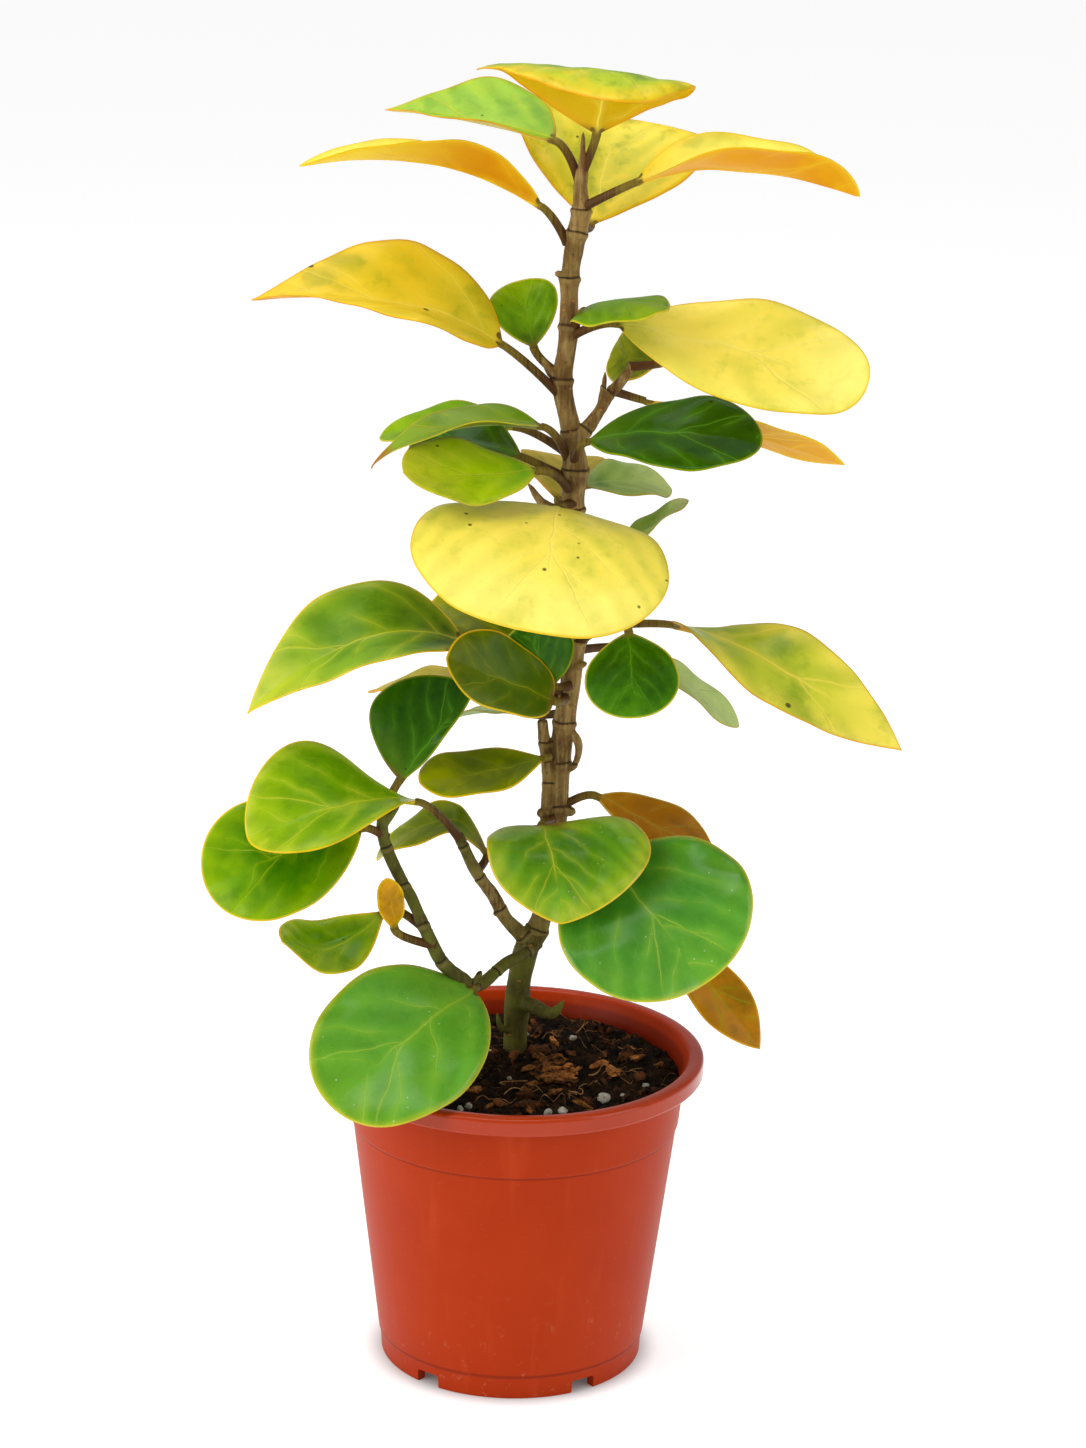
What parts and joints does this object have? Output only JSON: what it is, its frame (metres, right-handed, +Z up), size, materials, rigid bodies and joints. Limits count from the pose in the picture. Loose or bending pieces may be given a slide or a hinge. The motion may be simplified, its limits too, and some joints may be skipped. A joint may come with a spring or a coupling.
{
  "type": "potted mistletoe fig",
  "caption": "Small potted fig with glossy rounded leaves on a knotted branching stem, in a terracotta-coloured plastic pot with a rolled rim.",
  "frame": {"origin": "on the ground plane, under the middle of the plant's width and depth; the pot's own axis is 10 mm to the left", "axes": "+Z up along the stem, -Y towards the viewer of the picture, +X to the viewer's right"},
  "size_m": [0.2148, 0.1232, 0.4194],
  "materials": {
    "pot_plastic": "satin body with a glossy rim",
    "potting_mix": "rough crumbs of peat, bark and coir with white grains",
    "bark": "matte ringed bark",
    "leaf_gold": "glossy leathery leaf",
    "leaf_pale": "glossy leathery leaf",
    "leaf_orange": "satin leaf underside",
    "leaf_yellow": "glossy leathery leaf",
    "leaf_green": "glossy leathery leaf",
    "leaf_olive": "glossy leathery leaf",
    "leaf_dark": "glossy leathery leaf",
    "leaf_bronze": "satin leaf underside",
    "leaf_tan": "satin leaf underside",
    "leaf_grey": "satin leaf underside",
    "leaf_lime": "glossy leathery leaf"
  },
  "bodies": {
    "root": {"pot": "pot_plastic", "soil": "potting_mix", "stem": "bark", "leaf_crown": "leaf_gold", "leaf_upper_left_pale": "leaf_pale", "leaf_upper_left_orange": "leaf_orange", "leaf_upper_back_yellow": "leaf_pale", "leaf_upper_right_orange": "leaf_orange", "leaf_left_yellow": "leaf_yellow", "leaf_left_small_round": "leaf_green", "leaf_right_small_wavy": "leaf_green", "leaf_right_yellow": "leaf_yellow", "leaf_right_olive_behind": "leaf_olive", "leaf_right_dark": "leaf_dark", "leaf_right_far_bronze": "leaf_bronze", "leaf_back_tan": "leaf_tan", "leaf_back_grey": "leaf_grey", "leaf_right_folded": "leaf_dark", "leaf_left_high_back": "leaf_green", "leaf_left_high_curled": "leaf_green", "leaf_left_high_dark": "leaf_dark", "leaf_left_high_bright": "leaf_lime", "leaf_centre_yellow": "leaf_yellow", "leaf_left_large": "leaf_green", "leaf_left_tan": "leaf_tan", "leaf_branch_dark_up": "leaf_dark", "leaf_centre_olive": "leaf_olive", "leaf_centre_left_olive": "leaf_bronze", "leaf_centre_back_dark": "leaf_dark", "leaf_left_thin": "leaf_grey", "leaf_left_olive_yellow": "leaf_olive", "leaf_branch_bright": "leaf_lime", "leaf_branch_bright_low": "leaf_lime", "leaf_branch_cupped": "leaf_lime", "leaf_branch_small_orange": "leaf_gold", "leaf_middle_olive_arched": "leaf_olive", "leaf_centre_green": "leaf_green", "leaf_right_bronze": "leaf_bronze", "leaf_low_right_large": "leaf_green", "leaf_low_right_bronze": "leaf_bronze", "leaf_low_left_large": "leaf_green", "leaf_right_round_dark": "leaf_dark", "leaf_right_grey": "leaf_grey", "leaf_right_drooping": "leaf_pale"}
  },
  "joints": []
}
